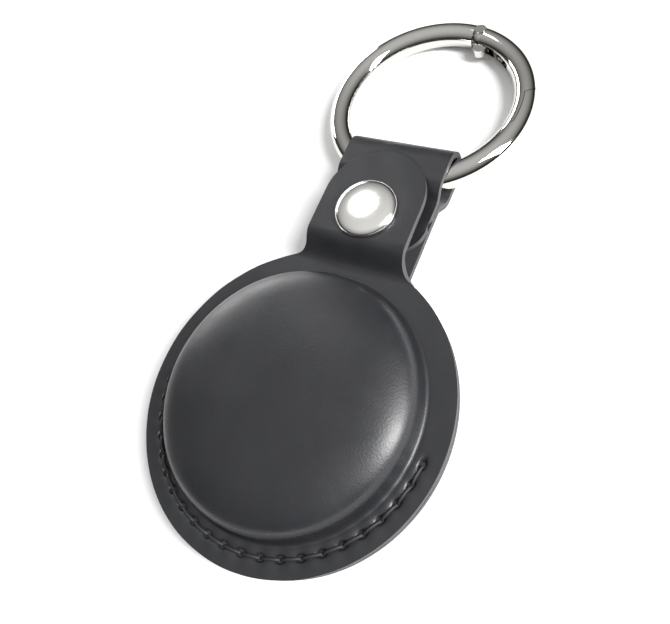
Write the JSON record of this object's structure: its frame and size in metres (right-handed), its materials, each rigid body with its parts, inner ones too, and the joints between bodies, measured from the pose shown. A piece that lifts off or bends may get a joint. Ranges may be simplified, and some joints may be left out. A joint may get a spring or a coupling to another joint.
{
  "type": "tracker tag holder",
  "caption": "Round leather pocket for a coin-shaped tracker tag, with a snap tab and a strap that holds a spring-gate ring.",
  "frame": {"origin": "middle of the flat back of the round case, on the surface that the holder lies on", "axes": "+Z out of the domed front, +Y from the case towards the ring, +X to the right when the front is seen"},
  "size_m": [0.044, 0.0898, 0.0107],
  "materials": {
    "leather_black": "satin",
    "lining_black": "matte",
    "thread_black": "matte",
    "nickel": "polished",
    "ring_chrome": "polished",
    "spring_steel": "satin"
  },
  "bodies": {
    "case": {"front_panel": "leather_black", "back_panel": "leather_black", "strap_end": "leather_black", "front_lining": "lining_black", "back_lining": "lining_black", "needle_thread": "thread_black", "bobbin_thread": "thread_black", "snap_stud": "nickel", "stud_eyelet": "nickel"},
    "tab": {"front_tab": "leather_black", "snap_cap": "nickel", "snap_socket": "nickel", "socket_spring": "spring_steel"},
    "loop": {"strap_loop": "leather_black"},
    "ring": {"ring_body": "ring_chrome"},
    "gate": {"ring_gate": "ring_chrome", "gate_pin": "ring_chrome", "gate_plunger": "spring_steel", "gate_spring": "spring_steel"}
  },
  "joints": [
    {"name": "tab_fold", "type": "hinge", "parent": "case", "child": "tab", "pos_m": [0, 0.0196, 0.0043], "axis": [1, 0, 0], "range_deg": [0, 75], "deforming": ["socket_spring"]},
    {"name": "strap_bend", "type": "hinge", "parent": "case", "child": "loop", "pos_m": [0, 0.0324, 0.0023], "axis": [1, 0, 0], "range_deg": [-60, 0]},
    {"name": "ring_spin", "type": "hinge", "parent": "loop", "child": "ring", "pos_m": [0, 0.051, 0.00251], "axis": [0, 0.0297, 0.9996], "range_deg": [-45, 135]},
    {"name": "gate_hinge", "type": "hinge", "parent": "ring", "child": "gate", "pos_m": [0.0036, 0.06545, 0.00208], "axis": [0, -0.0297, -0.9996], "range_deg": [0, 30], "stiffness_Nm_per_rad": 0.02, "springref_deg": -29.79}
  ]
}
